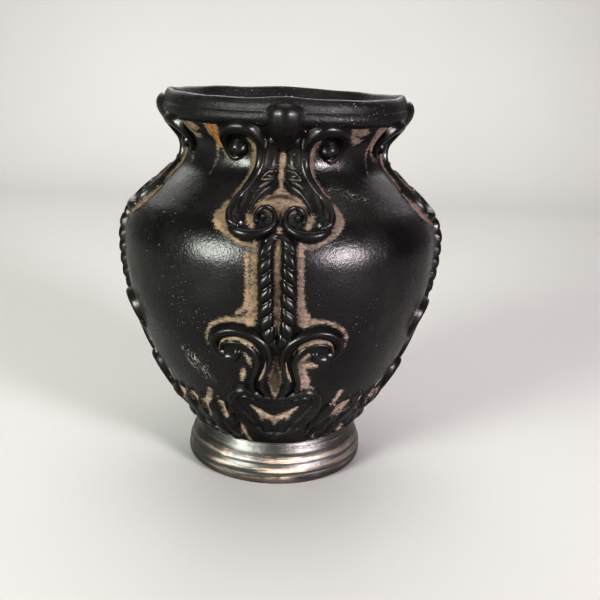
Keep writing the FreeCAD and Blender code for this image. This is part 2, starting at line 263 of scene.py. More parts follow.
BARE_MIDDLE = [
    (up(158.6, 155, 151, 147), [0.5, 1.5, 1.1, 1.1]),
    (up(146, 143.6, 140.4, 137), [0.9, 1.3, 4.2, 6.6]),
    ([(5, 139), (9.4, 136), (10.9, 132.6), (9.6, 129.6)], [2.6, 2.2, 1.7, 1.2]),
    (up(129.6, 127.6), [0.9, 1]),
    (up(124.4, 116, 104, 94, 86.4), [1.1, 1.3, 1.2, 1.5, 0.9]),
    (up(74.8, 70, 65, 60.6, 56, 51), [0.3, 1, 2.3, 2.9, 1.7, 0.5]),
    ([(0, 37.4), (3.6, 39.2), (7.4, 42), (10.8, 45.2)], [2.2, 1.9, 1.5, 0.5]),
    ([(0, 37.4), (0.2, 33.6)], [1.5, 0.5]),
    ([(6.6, 39.6), (6.3, 36.6)], [1.2, 0.3]),
]
BARE_RIGHT = [
    ([(33, 168.6), (35.4, 164.4), (38, 160.6)], [1.6, 1.5, 0.6]),
    ([(36.4, 166.6), (40.4, 166.2), (44.4, 165.8)], [2.2, 2.6, 0.6]),
    ([(36.8, 163.2), (40.6, 162), (43, 162.8)], [1.7, 1.7, 0.4]),
    ([(29, 154), (30.8, 151.6), (30.4, 149.4)], [0.45, 0.3, 0.1]),
    ([(26.6, 152.4), (29.6, 151.4)], [0.3, 0.3]),
    ([(11.4, 74.6), (9.8, 71.4), (10.2, 66.6), (11.6, 61.4), (12.6, 57.2), (15.6, 56.2)],
     [0.8, 1.5, 1.9, 2.3, 2.1, 1]),
    ([(11.6, 69.4), (15.6, 68.8)], [2, 0.9]),
    ([(21.4, 45.2), (19.4, 41.8), (16.6, 38.2)], [1.1, 0.9, 0.4]),
]
BARE_LEFT = [
    ([(34, 168.2), (35, 163.6), (33.6, 158.4), (29.6, 153.4), (24.6, 151.8)], [1.9, 1.8, 1.3, 0.7, 0.4]),
    ([(38, 168.4), (38, 164.5), (36.8, 160.8)], [2.4, 2.1, 1.3]),
    ([(36.6, 160), (37.8, 156), (38.2, 151), (39.2, 146)], [1.4, 0.7, 0.4, 0.1]),
    ([(9.6, 120), (9.6, 106), (9.9, 98), (13.6, 93.4)], [1.1, 1.2, 1.5, 0.8]),
    ([(22.6, 133), (21, 129.4), (17.6, 126.6)], [2.8, 2.7, 1.6]),
    ([(11.4, 74.4), (9.9, 71.4), (9.6, 68.4)], [0.5, 1.1, 0.6]),
    ([(12.2, 66.4), (12.9, 62.4), (13.4, 59.6)], [0.9, 1.3, 0.5]),
    ([(22.4, 42.8), (18.4, 38.2)], [0.7, 0.5]),
    ([(19, 33.6), (19.6, 27.4), (17.8, 20.8)], [0.5, 0.7, 0.5]),
]
PANEL_BARE = (on_sides(BARE_BESIDE + BARE_MIDDLE) + on_sides(BARE_RIGHT, (1,))
              + on_sides(BARE_LEFT, (-1,)))

# Thin bare lines on the relief itself.
LINES_ON_RELIEF = on_sides([
    ([(20.4, 76), (19.6, 79.8), (16.8, 82), (11.8, 82), (7.2, 79), (4.8, 74.4), (4.2, 69.6), (5.2, 64.8),
      (6.9, 60.4)], [0.2, 0.5, 0.7, 0.75, 0.75, 0.75, 0.7, 0.6, 0.2]),
    (up(158.6, 155, 151, 147.4, 144.6), [0.3, 0.75, 0.7, 0.7, 0.9]),
    ([(0, 72.8), (1.3, 68), (2.7, 63.6), (2.9, 59.4), (1.5, 54.4), (0, 50.8)],
     [0.3, 0.4, 0.5, 0.5, 0.5, 0.5]),
    ([(12.6, 170.6), (9.9, 167.8), (8.7, 163.8), (9, 160.4)], [0.35, 0.6, 0.5, 0.1]),
    ([(2.2, 149.9), (4.8, 148.9), (7.6, 147.2), (8.8, 145.2), (6, 145.7), (3.4, 146.8)],
     [0.15, 0.25, 0.25, 0.3, 0.25, 0.1]),
    ([(3, 152.2), (5.6, 150.6), (7.6, 149.9)], [0.2, 0.2, 0.05]),
    ([(1.8, 145.4), (5, 144.9), (8.6, 142.8), (10.9, 139), (12, 135.6)], [0.25, 0.25, 0.25, 0.2, 0.1]),
])

# Bare chips in the garland, from its own root at 0 degrees to the next one's at 90.
CHIPS = [
    ([(35.4, 43.6), (32.6, 41), (29.8, 38.6)], [1.4, 1.6, 0.6]),
    ([(45.6, 44.6), (47, 38.6)], [1.2, 0.7]),
    ([(59.4, 50.8), (57, 47), (54.6, 43)], [0.8, 1.1, 0.9]),
    ([(45.2, 27.4), (40.2, 26.2), (37.2, 22.8)], [1, 1.3, 0.6]),
    ([(26.2, 27.4), (25.4, 24)], [0.6, 0.4]),
    ([(24.6, 20.4), (23.4, 17.6)], [0.8, 0.5]),
    ([(41.4, 19.6), (35.2, 19)], [0.5, 0.5]),
    ([(29.8, 52.2), (28.6, 46)], [0.9, 0.9]),
    ([(36.8, 44), (35.8, 38.6)], [1.4, 0.9]),
    ([(52.2, 43), (53.5, 39.2), (50.8, 33.8)], [0.9, 1.5, 0.4]),
    ([(63, 44.4), (64.8, 38.8)], [1.3, 1]),
    ([(68.3, 42.6), (72, 37.6)], [0.7, 0.5]),
    ([(44.2, 25.4), (49.6, 22.9), (57.4, 19.2)], [0.9, 1.2, 0.5]),
    ([(43.4, 20.4), (47.4, 19.6)], [0.9, 0.9]),
    ([(71.4, 33.2), (70.8, 26.6), (72.6, 20)], [0.5, 0.6, 0.4]),
]
CHIP_EDGE = 0.45  # added to the chips' half widths
GARLAND_BARE = [(places, [half + CHIP_EDGE for half in width]) for places, width in CHIPS]

# Painted shade in the hollows of the relief's bare places, and stains and scuffs on the wall between the
# panels.
HOLLOW_SHADE_LINES = on_sides([
    (up(69, 64.4, 60.4, 55.2), [0.6, 1.9, 2.7, 1.3]),
    ([(0, 140.6), (3.2, 140.2), (5.8, 139.2)], [1.4, 1.2, 0.7]),
    ([(7.6, 136.6), (10.2, 133.6)], [0.8, 0.6]),
    ([(0, 44.6), (7, 46.6), (12, 47.2)], [1.2, 1.3, 1]),
    ([(10.6, 77.6), (9.2, 73.4)], [0.9, 0.7]),
])
STAINS = [([(-36, 167), (-36.5, 162), (-33, 158.5)], [2.2, 2.0, 1.0])]
SCUFFS = [
    ([(-38, 71), (-34, 66), (-30, 60), (-28, 56)], [3, 5.6, 5, 2.4]),
    ([(36, 124), (36.6, 117)], [0.5, 0.8]),
    ([(20, 143), (30, 141), (38, 138)], [1.6, 3.8, 2.6]),
    ([(-41, 108), (-36, 110)], [0.8, 0.5]),
]


# ---- the relief's pieces
DEEP = -9.0  # the height of a piece's clay where it has none
FALL = 1.2  # how steeply clay falls away beyond a coil's edge
SOFT = 0.45  # how far the crease between two coils of a piece is rounded
SEAM_SOFT = 0.5  # the same between two pieces
LAY_SOFT = 0.2  # the same round a rope


def smooth_max(first, second, soft):
    """The larger of two heights, with the crease between them rounded."""
    blend = np.clip(soft - np.abs(first - second), 0, None) / soft
    return np.maximum(first, second) + blend**2 * soft / 4


def dome(share, height, full):
    """A rounded section: height at the middle, zero at share 1. full 0 gives a soft
    swelling that fades into the wall."""
    share = np.clip(share, 0, 1)
    if full == 0:
        return height * np.cos(math.pi / 2 * share) ** 2
    return height * np.cos(math.pi / 2 * share ** full)


class Clay:
    """A piece of clay, as heights over a patch of the wall. side is the side of the panel
    that its lines are laid on: 1, -1, or 0 for lines that are already in place."""

    def __init__(self, field, side):
        self.field, self.side = field, side
        self.lift = np.full(field.shape, DEEP)

    def near(self, places, width, height, margin):
        """The points near a line, their distance to it, and its half width and height."""
        places = mirror(places, self.side) if self.side else places
        line = smooth_line(places, width, height)
        return self.field.near(line, np.max(width) + margin)

    def ridge(self, places, width, height, full=1.35):
        """Raises a rounded coil along a line: width is half its breadth."""
        inside, gap, (half, top) = self.near(places, width, height, 3)
        lift = np.where(gap < half, dome(gap / half, top, full), -(gap - half) * FALL)
        self.lift[inside] = smooth_max(self.lift[inside], lift, SOFT)

    def groove(self, places, width, depth):
        """Presses a line into the relief."""
        inside, gap, (half, depths) = self.near(places, width, depth, 1)
        share = np.clip(gap / half, 0, 1)
        self.lift[inside] -= depths * (1 - share**2) ** 2


def strap_head(clay):
    """The cushion over the lip, which narrows down into the root of the leaves."""
    places = up(179.9, 178, 175.6, 172.6, 169.4, 165.5, 161.6)
    clay.ridge(places, [6, 8, 10, 10.4, 9.6, 7.6, 5],
               [0.4, 1.4, 3.3, 4.2, 4.1, 3.3, 2.3], 0)
    clay.ridge(places, [3.6, 5, 6.6, 7.2, 6.9, 6.2, 4.6],
               [0.2, 0.9, 2.3, 3.3, 3.4, 3, 2.3], 2)
    over_lip = np.clip(clay.field.heights - 176.8, 0, None)
    clay.lift -= 1.3 * over_lip ** 1.4


def volute(clay):
    """A strap that curls over beside the cushion, round an eye, and its end under the eye."""
    arm = [(22.8, 154.6), (26.8, 153.9), (30, 156.8), (31, 161.4), (28.4, 165.9), (23.4, 168),
           (17.8, 168.2), (13.6, 165.6), (11.4, 161.4), (11, 156.2), (11.4, 151.5), (12.9, 147),
           (15.2, 142.6), (17.2, 139.4)]
    clay.ridge(arm, [0.9, 1.5, 1.9, 2.4, 3, 3.4, 3.3, 3, 2.8, 2.7, 2.6, 2.5, 2.3, 1.8],
               [0.8, 1.4, 2, 2.6, 3.2, 3.6, 3.6, 3.3, 3.1, 3.1, 3, 2.8, 2.6, 2.2], 1.6)
    clay.ridge([(24.4, 158.8), (23.6, 158.3)], 3.9, 3.5, 1.7)


LOBES = [
    ([(3.9, 155.4), (5.6, 153.2), (8.4, 151.4)], 2, 2.1),
    ([(3.6, 150.6), (5.4, 148.6), (8.8, 146.4)], 2.1, 2.9),
    ([(3, 145), (5.6, 143.1), (8.8, 140.6), (10.9, 137.2), (11.7, 134)], 2, 2.6),
    ([(14.4, 139.8), (15, 136), (14.4, 132.6)], 2, 2.4),
]


def half_leaf(clay):
    """Half of the acanthus leaf: a low swollen blade with pointed lobes on it."""
    blade = [(5.2, 161.6), (6.4, 156), (7.6, 151), (9.4, 146.6), (11.8, 142.4), (14.6, 138.2),
             (16, 134.2), (15.2, 131.2)]
    clay.ridge(blade, [3, 3.6, 4.2, 4.7, 5.2, 5.2, 4.4, 2.8], [1.6, 2.1, 2.3, 2, 1.9, 1.9, 1.9, 1.6], 1.7)
    rim = [(16, 141.4), (18.2, 137.8), (18.9, 133.6), (17.4, 130.4), (14.6, 129.2)]
    clay.ridge(rim, [1.4, 2.1, 2.1, 1.8, 1.2], [2.4, 3, 3, 2.7, 2])
    for places, width, height in LOBES:
        clay.ridge(places, [width * 0.4, width, width * 0.85, width * 0.45],
                   [height * 0.4, height, height, height * 0.7])
    for places in ([(3.4, 151), (6.4, 149.4), (8.8, 148)], [(3.4, 145.6), (6.6, 144), (9.4, 142.2)],
                   [(12.4, 140.6), (12.9, 137), (12.7, 134.2)], [(16.4, 139.4), (16.9, 136), (16.2, 133)]):
        clay.groove(places, 0.9, 0.6)


def bracket(clay):
    """Half of the bar under the leaf, its end curled up into a small spiral."""
    bar = [(16.4, 128.2), (13.6, 126.9), (10, 126.4), (6, 127.2), (3.2, 128.8)]
    clay.ridge(bar, [1.9, 2.7, 2.8, 2.3, 1.7], [2.2, 3.2, 3.4, 3, 2.4])
    curl = [(3.2, 128.8), (1.7, 131.4), (2.4, 134.4), (4.8, 136), (7.6, 135.4), (9, 133.2), (8.2, 131.2)]
    clay.ridge(curl, [1.6, 1.35, 1.3, 1.3, 1.2, 1.1, 1], [2.4, 2.3, 2.3, 2.3, 2.2, 2, 1.8])
    clay.ridge([(6.3, 132.8)], 1.6, 2.3)


ROPE_PITCH = 6.1
ROPE_START = {1: 0.15, -1: 0.55}  # share of a lay at which each side's rope begins


def rope(clay):
    """A twisted rope: plump lays that lean up towards the panel's middle."""
    field, side = clay.field, clay.side
    route = mirror([(1.2, 126.4), (2.6, 124.6), (3.5, 121.4), (3.6, 117), (3.6, 108),
                    (3.6, 98), (3.5, 91), (3.0, 86), (2.0, 82.2), (0.9, 79.8)], side)
    line = smooth_line(route, [1.8, 2.5, 3.2, 3.5, 3.6, 3.6, 3.6, 3.5, 2.9, 1.9],
                       [1.8, 2.6, 3.3, 3.6, 3.7, 3.7, 3.6, 3.3, 2.8, 1.9],
                       [angle for angle, _ in route])
    inside, gap, (half, top, middle) = field.near(line, 6)
    radius = np.interp(field.heights[inside], BASE[:, 1], BASE[:, 0])
    across = (field.angles[inside] - middle) * side * np.radians(1) * radius
    # each lay leans across the rope in a slight S, and swells between its two ends
    bend = across * 0.52 + 0.3 * np.sin(across * 0.9)
    phase = (field.heights[inside] + bend) / ROPE_PITCH + ROPE_START[side]
    lay = 2 * (phase - np.floor(phase)) - 1
    plump = np.sqrt(1 - 0.93 * np.abs(lay) ** 2.0)
    share = gap / (half * (0.86 + 0.14 * plump))
    lift = dome(share, top, 1.8) * (0.28 + 0.72 * plump)
    lift = np.where(share < 1, lift, -(gap - half * 0.93) * FALL)
    clay.lift[inside] = smooth_max(clay.lift[inside], lift, LAY_SOFT)


def scroll(clay):
    """A C-scroll in two coils that runs down to the cartouche, its upper end a hook."""
    outer = [(14.3, 74.4), (16, 71.8), (19.3, 71.6), (21.9, 74.8), (22.5, 79.2), (20.4, 83.8),
             (15.2, 86.3), (9.8, 85.3), (5.3, 82), (2.9, 78), (2.1, 73.4), (3.2, 67.6), (4.9, 62.6),
             (4.9, 57.6), (3.1, 53.2)]
    clay.ridge(outer, [1.9, 2.5, 2.4, 2.2, 2.3, 2.5, 2.4, 2.3, 2.1, 1.8, 1.5, 1.5, 1.6, 1.6, 1.3],
               [1.3, 1.7, 1.7, 2, 2.8, 3.3, 3.3, 3.2, 3, 2.9, 2.8, 2.7, 2.6, 2.5, 2.2])
    inner = [(20.2, 76.2), (18.6, 79.4), (14.6, 80.9), (10.4, 79.8), (7.6, 76.4), (6.6, 71.8),
             (7.4, 66.6), (8.8, 61.6), (9.2, 57), (8.4, 53.6)]
    clay.ridge(inner, [1, 1.3, 1.45, 1.5, 1.5, 1.45, 1.45, 1.5, 1.5, 1.2],
               [1.6, 2.4, 2.8, 2.9, 2.9, 2.8, 2.7, 2.5, 2.3, 1.8])


def palmette(clay):
    """A heart-shaped cartouche with curled shoulders and a scalloped inner edge."""
    for side in (1, -1):
        clay.side = side
        heart = [(2.2, 49.6), (5.6, 51.2), (9, 53.6), (13.4, 54.8), (17.8, 52.2), (19.6, 47.4),
                 (18.8 + 0.5 * side, 41.8), (15.6, 35.6 + 0.5 * side), (10.6, 30.4), (5, 27), (0, 25.6)]
        clay.ridge(heart, [1, 1.8, 2.3, 2.7, 2.9, 3, 2.9, 2.9, 3, 3.2, 3.3],
                   [0.4, 1.5, 2.5, 3, 3, 2.7, 2.4, 2.1, 1.9, 1.8, 1.7])
        for places in ([(19, 47.6), (18.2, 42), (15, 36.2), (11, 32)],
                       [(13.4, 30.6), (8.4, 27.6), (3, 25.6)], [(9.6, 32.8), (5.6, 29.6), (1.2, 28.4)],
                       [(16.2, 54.4), (18.6, 50.4)]):
            clay.groove(places, [0.8, 1.2, 0.8], 0.7)
        curl = [(16, 50), (12.6, 51.2), (9.4, 50), (9, 47.6)]
        clay.ridge(curl, [1.6, 1.9, 1.8, 1.2], [1.4, 1.7, 1.6, 0.9], 0)
        clay.ridge([(17.2, 43.6), (13.8, 38.2), (9.6, 33.4)], [0.9, 1.5, 1.2], [1, 1.6, 1.4], 0)
        clay.ridge([(4.4, 30.6), (3.2, 34.6)], [2.8, 1.5], [1.7, 1], 0)
        clay.ridge([(10.4, 34), (8.6, 37.4)], [2.4, 1.2], [1.6, 0.8], 0)
    clay.side = 1
    clay.ridge([(-7, 45.8), (0, 45.2), (7, 45.8)], [1.2, 2.6, 1.2], [0.3, 0.9, 0.3], 0)


# Leaves of the garland: root and tip places, half width and height.
LEAVES = [
    (22.5, 33.6, 29.6, 45.6, 4, 2.6), (30.6, 33, 37.6, 46.4, 4, 2.3),
    (38.6, 33.4, 44.8, 46.4, 4, 2.5), (50, 33.6, 52.6, 45.6, 3.8, 2.3),
    (58, 34, 55.6, 46.8, 3.9, 2.5), (66.4, 33.8, 62.2, 46, 4.1, 2.6),
    (24.6, 24.2, 32.4, 32.6, 3.8, 2.1), (33.6, 23.2, 42.4, 33.2, 4, 2.3),
    (44.8, 23, 50.2, 33, 3.6, 2), (57.6, 23.4, 53, 32.6, 3.8, 2.2), (66.8, 24.2, 60.2, 33.4, 4, 2.3),
    (23, 21.2, 30, 24.6, 2.6, 1.5), (60, 21.8, 67.4, 21.2, 2.6, 1.5), (38, 20.8, 52, 20.8, 2.2, 1.3),
]


def garland(clay):
    """Two rows of plump leaves that lean away from the palmettes at 0 and 90 degrees."""
    clay.ridge([(22, 34.0), (45, 33.4), (68, 34.0)], 6.6, 0.9, 2.4)
    for root, low, tip, high, width, height in LEAVES:
        lean = 0.8 if tip > root else -0.8
        places = [(root, low), ((root + tip) / 2 - lean, (low + high) / 2), (tip, high)]
        clay.ridge(places, [width * 0.7, width, width * 0.55],
                   [height * 0.6, height, height * 0.35], 1.7)
    chips = np.clip(paint(clay.field, GARLAND_BARE) + 0.7, 0, 1.6)
    clay.lift -= 1.5 * chips


# ---- meshes
def uneven(points):
    """A smooth, slight warp that every piece shares, so that pieces stay in touch, with a
    lip that rises and swells over the four cushions and waves a little between them."""
    x, y, z = points.T
    shift = np.stack([
        0.22 * np.sin(0.041 * z + 0.9) * np.cos(0.033 * y + 0.4)
        + 0.1 * np.sin(0.09 * z + x * 0.05),
        0.20 * np.sin(0.037 * z + 2.1) * np.cos(0.031 * x + 1.7)
        + 0.1 * np.sin(0.08 * z - y * 0.06),
        0.14 * np.sin(0.045 * x + 0.3) * np.cos(0.043 * y + 0.8),
    ], 1)
    rim = np.clip((z - 168) / 12, 0, 1) ** 2
    turn = np.arctan2(x, -y)
    bump = np.exp(-((np.sin(2 * turn) / 0.42) ** 2))
    swell = 1.3 * bump * np.clip((z - 164) / 10, 0, 1) ** 2
    shift[:, 0] += swell * np.sin(turn)
    shift[:, 1] -= swell * np.cos(turn)
    shift[:, 2] += rim * (0.9 * bump - 0.35 + 0.16 * np.sin(5 * turn + 0.6)
                          + 0.1 * np.sin(13 * turn + 2))
    return points + shift * np.clip(z / 8, 0, 1)[:, None]


def smooth_object(name, points, faces, material):
    """A smooth-shaded mesh object from points in metres."""
    mesh = bpy.data.meshes.new(name)
    mesh.from_pydata(points, [], faces)
    mesh.polygons.foreach_set("use_smooth", [True] * len(mesh.polygons))
    mesh.materials.append(material)
    mesh.update()
    thing = bpy.data.objects.new(name, mesh)
    bpy.context.scene.collection.objects.link(thing)
    return thing


def make_piece(name, points, faces, material, fields, turn=0.0, sharp=None):
    """A piece from millimetre points, turned about the axis, with its float attributes."""
    angle = math.radians(turn)
    spin = np.array([[math.cos(angle), -math.sin(angle), 0],
                     [math.sin(angle), math.cos(angle), 0], [0, 0, 1]])
    points = uneven(points @ spin.T) * MM
    piece = smooth_object(name, points.tolist(), [tuple(face) for face in faces], material)
    for key, values in fields.items():
        layer = piece.data.attributes.new(key, "FLOAT", "POINT")
        layer.data.foreach_set("value", np.asarray(values, np.float32))
    if sharp is not None:
        piece.data.set_sharp_from_angle(angle=math.radians(sharp))
    return piece


FIRST, LATER = slice(None, -1), slice(1, None)
# A cell's four corners in the grid of points, in order round the cell.
CORNERS = [(FIRST, FIRST), (FIRST, LATER), (LATER, LATER), (LATER, FIRST)]


def settle_cells(cells):
    """Fills in round cells that touch another only at a corner."""
    for _ in range(6):
        here, right, across, above = [cells[corner] for corner in CORNERS]
        cross = (here & across & ~right & ~above) | (right & above & ~across & ~here)
        if not cross.any():
            break
        for corner in CORNERS:
            cells[corner] |= cross
    return cells


EDGE = -0.75  # a piece's mesh ends where its clay is this far under the wall
ROOT = -1.2  # how far into the wall a piece's back lies
LEAST = 0.3  # a piece's least thickness


def relief_piece(name, field, own, top, bare, turn):
    """A closed mesh over the cells where a piece's own clay rises, down into the wall."""
    keep = own > EDGE
    cells = settle_cells(np.logical_and.reduce([keep[corner] for corner in CORNERS]))
    used = np.zeros(keep.shape, bool)
    for corner in CORNERS:
        used[corner] |= cells
    count = int(used.sum())
    number = np.full(keep.shape, -1)
    number[used] = np.arange(count)
    angles, heights = field.angles[used], field.heights[used]
    upper = on_wall(angles, heights, top[used])
    lower = on_wall(angles, heights, np.minimum(ROOT, top[used] - LEAST))
    around = np.stack([number[corner] for corner in CORNERS], -1)
    faces = [around[cells], around[cells][:, ::-1] + count]
    padded = np.pad(cells, 1)
    rows, columns = cells.shape
    # a wall down each side of a cell that has no cell beyond it: (row, column, corners)
    for down, along, start, end in ((-1, 0, 0, 1), (0, 1, 1, 2), (1, 0, 2, 3), (0, -1, 3, 0)):
        beyond = padded[1 + down:1 + down + rows, 1 + along:1 + along + columns]
        first, second = around[cells & ~beyond][:, (start, end)].T
        faces.append(np.stack([second, first, first + count, second + count], 1))
    fields = {"bare": np.tile(bare[used], 2), "lift": np.tile(top[used], 2)}
    for key in ("stain", "scuff", "hollow_shade"):
        fields[key] = np.full(2 * count, NOWHERE)
    return make_piece(name, np.concatenate([upper, lower]), np.concatenate(faces),
                      relief_material, fields, turn)


# ---- materials
class Nodes:
    """Short calls for building a material's nodes."""

    def __init__(self, name):
        self.material = bpy.data.materials.new(name)
        self.material.use_nodes = True
        self.tree = self.material.node_tree
        self.tree.nodes.clear()
        self.place = self.add("ShaderNodeTexCoord").outputs["Object"]

    def add(self, kind, settings=None, **inputs):
        node = self.tree.nodes.new(kind)
        for key, value in (settings or {}).items():
            setattr(node, key, value)
        for key, value in inputs.items():
            self.plug(node, key.replace("_", " "), value)
        return node

    def plug(self, node, key, value):
        """Links a socket to an input, or sets the input's own value."""
        socket = node.inputs[int(key)] if key.isdigit() else node.inputs[key]
        if isinstance(value, bpy.types.NodeSocket):
            self.tree.links.new(value, socket)
        else:
            socket.default_value = value + (1.0,) if socket.type == "RGBA" else value

    def math(self, operation, a, b=0.0, c=0.0, clamp=False):
        settings = {"operation": operation, "use_clamp": clamp}
        return self.add("ShaderNodeMath", settings, **{"0": a, "1": b, "2": c}).outputs[0]

    def times(self, a, b, clamp=False):
        return self.math("MULTIPLY", a, b, clamp=clamp)

    def less(self, a, b):
        return self.math("SUBTRACT", a, b)

    def vary(self, base, noise, amount):
        """base moved up and down by a noise, by half of amount at most."""
        return self.math("MULTIPLY_ADD", self.less(noise, 0.5), amount, base)

    def noise(self, scale, detail, roughness, distortion=0.0):
        """Noise over the pot. At a scale of 100 its blotches are about 10 mm wide."""
        return self.add("ShaderNodeTexNoise", Vector=self.place, Scale=scale, Detail=detail,
                        Roughness=roughness, Distortion=distortion).outputs["Fac"]

    def streaks(self, across, up, detail, roughness, distortion=0.0):
        """Noise of one scale across the pot and another up it."""
        place = self.add("ShaderNodeMapping", Vector=self.place, Scale=(across, across, up))
        streaks = self.noise(1.0, detail, roughness, distortion)
        self.plug(streaks.node, "Vector", place.outputs[0])
        return streaks

    def ramp(self, value, low, high):
        """0 below low, 1 above high, smooth between. It falls if low is the larger."""
        return self.add("ShaderNodeMapRange", {"interpolation_type": "SMOOTHSTEP"},
                        Value=value, From_Min=low, From_Max=high).outputs["Result"]

    def mix(self, factor, a, b):
        """Colour a where factor is 0, b where it is 1."""
        inputs = {"0": factor, "6": a, "7": b}
        return self.add("ShaderNodeMix", {"data_type": "RGBA"}, **inputs).outputs[2]

    def cover(self, under, over, mask, share):
        """A colour with another over it, by a share of the mask."""
        return self.mix(self.times(mask, share), under, over)

    def blend(self, factor, a, b):
        """a where factor is 0, b where it is 1, for single numbers."""
        inputs = {"0": factor, "2": a, "3": b}
        return self.add("ShaderNodeMix", {"data_type": "FLOAT"}, **inputs).outputs[0]

    def bump(self, height, strength, distance, normal=None):
        node = self.add("ShaderNodeBump", Strength=strength, Distance=distance, Height=height)
        if normal is not None:
            self.plug(node, "Normal", normal)
        return node.outputs[0]

    def attribute(self, name):
        return self.add("ShaderNodeAttribute", {"attribute_name": name}).outputs["Fac"]

    def finish(self, **inputs):
        shader = self.add("ShaderNodeBsdfPrincipled", **inputs)
        output = self.add("ShaderNodeOutputMaterial")
        self.tree.links.new(shader.outputs[0], output.inputs["Surface"])
        return self.material


# Colours, as linear red, green and blue.
BLACK, WORN_BLACK = (0.0036, 0.0034, 0.0034), (0.0088, 0.0084, 0.0078)
# the two clay colours on the next line are one clay, painted with the tints of the left and the right lamp
LEFT_LAMP_CLAY, RIGHT_LAMP_CLAY = (0.106, 0.077, 0.049), (0.092, 0.067, 0.058)
PALE_GRAIN, LOW_CLAY = (0.175, 0.146, 0.11), (0.25, 0.2, 0.162)
# the third colour on the next line is painted shade, for the relief's hollows
STAIN, DIRT, HOLLOW_SHADE = (0.15, 0.07, 0.024), (0.068, 0.053, 0.038), (0.018, 0.013, 0.009)
DUST, SCRATCH = (0.34, 0.32, 0.28), (0.36, 0.34, 0.3)
FOOT_BLACK, GRAPHITE = (0.008, 0.008, 0.007), (0.062, 0.061, 0.054)
FOOT_CLAY, FOOT_PALE_CLAY = (0.23, 0.16, 0.12), (0.35, 0.275, 0.225)
TURNED_LINE, FOOT_EDGE = (0.008, 0.006, 0.005), (0.01, 0.009, 0.009)
SATIN, DULL_SATIN, MATT = 0.23, 0.36, 0.84  # roughness of the coat, and of bare clay


def coated_clay(name, dust, wear, dull=0.0, texture=1.0):
    """Satin black over pale clay, bare where the attribute says, with dust and scuffs."""
    nodes = Nodes(name)
    noise, streaks, ramp, vary = nodes.noise, nodes.streaks, nodes.ramp, nodes.vary
    times, cover = nodes.times, nodes.cover
    # the coat's feathered edge: dry-brushed fringe, blots and fine grain
    edge = vary(nodes.attribute("bare"), streaks(480, 1500, 4, 0.75), 4.4)
    edge = vary(edge, noise(240, 4, 0.65), 1.9)
    edge = vary(edge, noise(2100, 3, 0.7), 2.6)
    shows = ramp(edge, -0.45, 0.75)
    # a thin film of the coat left over the clay's bare fields
    film = ramp(streaks(420, 620, 6, 0.75), 0.46, 0.66)
    shows = nodes.less(shows, times(times(shows, film), 0.62))
    # rubbed crests of the relief
    crest = ramp(nodes.attribute("lift"), 2.2, 3.6)
    rub = times(crest, ramp(noise(620, 6, 0.75), 0.68, 0.76))
    shows = nodes.math("MAXIMUM", shows, times(rub, 0.45 * wear), clamp=True)
    # clay: yellower on the left and pinker on the right, a painted tint of the two lamps' colours; paler
    # low down, grained and dirty, with painted shade in the relief's hollows
    place = nodes.add("ShaderNodeSeparateXYZ", Vector=nodes.place).outputs
    lamp_side = vary(place[0], noise(30, 4, 0.6), 0.05)
    clay = nodes.mix(ramp(lamp_side, -0.016, 0.02), LEFT_LAMP_CLAY, RIGHT_LAMP_CLAY)
    clay = cover(clay, PALE_GRAIN, ramp(noise(1100, 5, 0.75), 0.46, 0.72), 0.55)
    clay = cover(clay, LOW_CLAY, ramp(place[2], 0.105, 0.06), 0.6)
    clay = cover(clay, DIRT, ramp(noise(130, 6, 0.7), 0.42, 0.64), 0.66)
    clay = cover(clay, STAIN, ramp(nodes.attribute("stain"), -1.6, 1.0), 0.85)
    # painted shade: the clay is darkened along lines in the relief's hollows
    hollow_shade = vary(nodes.attribute("hollow_shade"), noise(300, 5, 0.7), 2.0)
    clay = cover(clay, HOLLOW_SHADE, ramp(hollow_shade, -0.8, 1.0), 0.9)
    # coat: deep black, a little lighter where it is thin, with dust
    coat = nodes.mix(ramp(noise(24, 5, 0.6), 0.42, 0.72), BLACK, WORN_BLACK)
    specks = ramp(noise(1250, 2, 0.5), 0.69, 0.75)
    veil = ramp(noise(30, 3, 0.6), 0.42, 0.72)
    specks = times(times(specks, veil), 0.7 * dust, clamp=True)
    coat = nodes.mix(specks, coat, DUST)
    # scuffs: short dashes and long curved threads
    scratch = ramp(streaks(1500, 800, 7, 0.85, 0.8), 0.57, 0.66)
    for across, up in ((150, 135), (210, 84)):
        curve = nodes.less(streaks(across, up, 1.5, 0.5, 0.4), 0.5)
        thread = times(ramp(nodes.math("ABSOLUTE", curve), 0.006, 0.001), 0.55)
        scratch = nodes.math("MAXIMUM", scratch, thread)
    scuff = times(ramp(nodes.attribute("scuff"), -0.5, 3.2), scratch)
    coat = cover(coat, SCRATCH, scuff, 0.85)
    # gloss: patchy satin, matt clay
    rough = nodes.blend(ramp(noise(55, 6, 0.7), 0.32, 0.68), SATIN, DULL_SATIN)
    rough = nodes.math("ADD", rough, times(specks, 0.6))
    rough = nodes.math("ADD", rough, dull)
    rough = nodes.blend(nodes.math("MAXIMUM", shows, scuff), rough, MATT)
    # the surface itself: orange peel, pits, slow swells and the coat's own thickness
    normal = nodes.bump(noise(820, 4, 0.62), 0.46 * texture, 0.00034)
    normal = nodes.bump(noise(300, 4, 0.6), 0.16 * texture, 0.00035, normal)
    normal = nodes.bump(noise(70, 3, 0.5), 0.26 * texture, 0.001, normal)
    normal = nodes.bump(nodes.less(1.0, shows), 0.5, 0.00014, normal)
    return nodes.finish(Base_Color=nodes.mix(shows, coat, clay), Roughness=rough,
                        Normal=normal, IOR=1.35,
                        Specular_IOR_Level=nodes.blend(shows, 0.4 - dull, 0.2))


